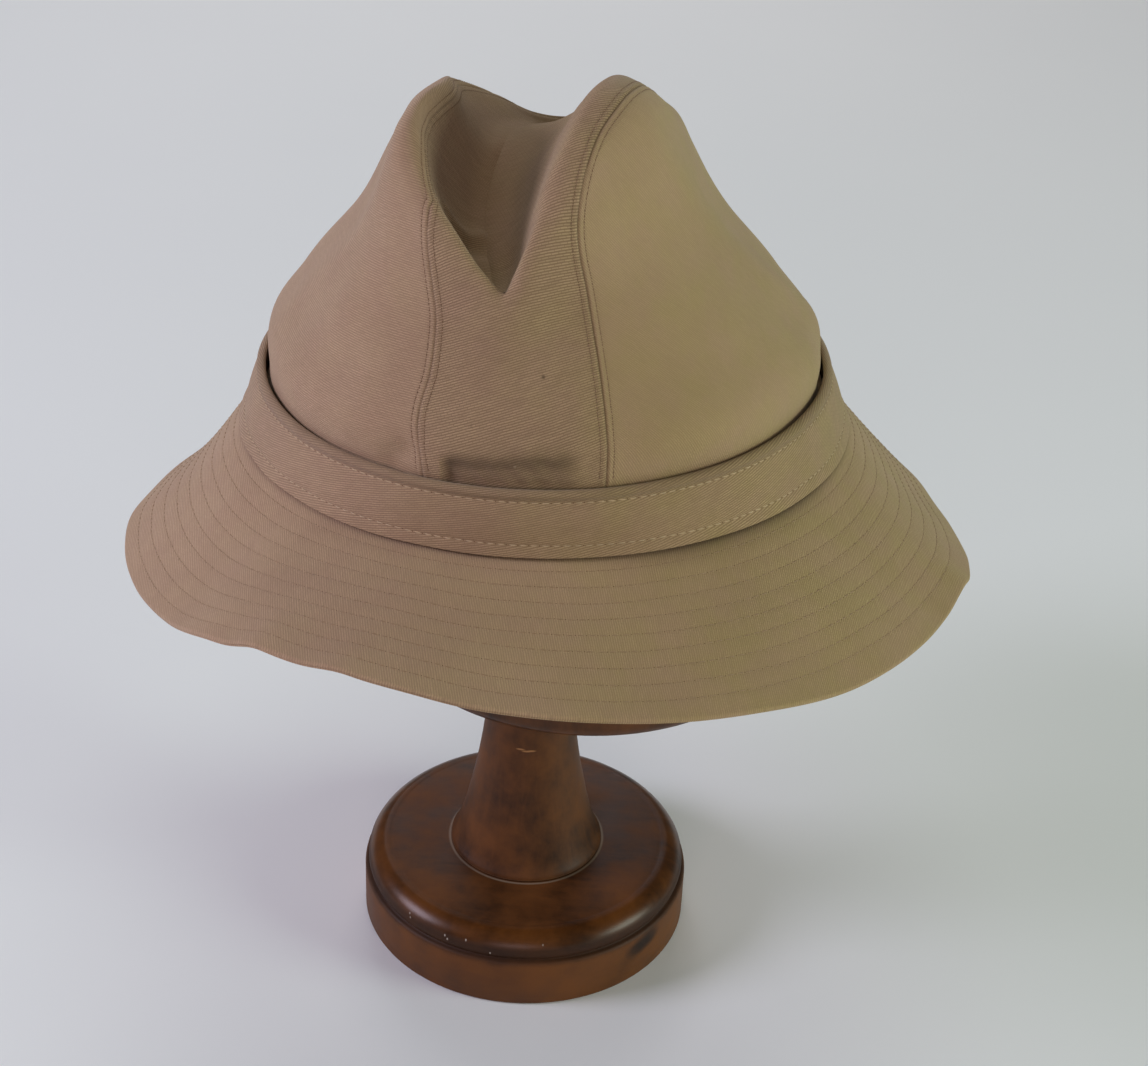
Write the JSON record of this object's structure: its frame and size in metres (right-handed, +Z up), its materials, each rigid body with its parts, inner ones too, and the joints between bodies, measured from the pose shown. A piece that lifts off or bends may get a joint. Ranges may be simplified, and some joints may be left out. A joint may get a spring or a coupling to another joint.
{
  "type": "fedora on a wooden hat stand",
  "caption": "Soft cloth fedora with a pinched, dented crown, self-fabric band and drooping stitched brim, shown on a turned wooden hat stand.",
  "frame": {"origin": "centre of the stand's foot, on the surface it stands on", "axes": "+Z up the stand's post, -Y towards the front of the hat, +X to the viewer's right"},
  "size_m": [0.2599, 0.2793, 0.3127],
  "materials": {
    "cloth": "brushed cotton twill, matte",
    "wood": "dark stained, satin varnish"
  },
  "bodies": {
    "root": {"crown_left_panel": "cloth", "crown_centre_panel": "cloth", "crown_right_panel": "cloth", "hat_band": "cloth", "brim": "cloth", "stand_base": "wood", "stand_post": "wood", "stand_top": "wood"}
  },
  "joints": []
}
